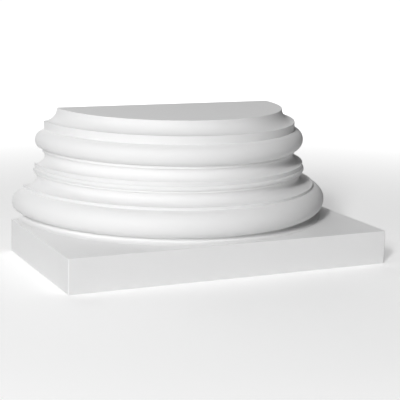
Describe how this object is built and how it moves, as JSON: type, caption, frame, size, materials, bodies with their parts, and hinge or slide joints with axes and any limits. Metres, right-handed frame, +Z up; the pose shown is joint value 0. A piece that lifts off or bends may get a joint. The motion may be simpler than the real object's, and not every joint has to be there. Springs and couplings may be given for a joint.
{
  "type": "half column base",
  "caption": "Half column base: a square-edged plinth with turned tori, scotias and a cavetto, cut off flat behind to stand against a wall under a half-round shaft.",
  "frame": {"origin": "middle of the plinth's underside", "axes": "+X along the wall, +Y into the wall, +Z up towards the shaft"},
  "size_m": [0.4, 0.205, 0.1726],
  "materials": {
    "white_primer": "smooth satin-matt white primer on rigid polyurethane foam"
  },
  "bodies": {
    "root": {"half_column_base": "white_primer"}
  },
  "joints": []
}
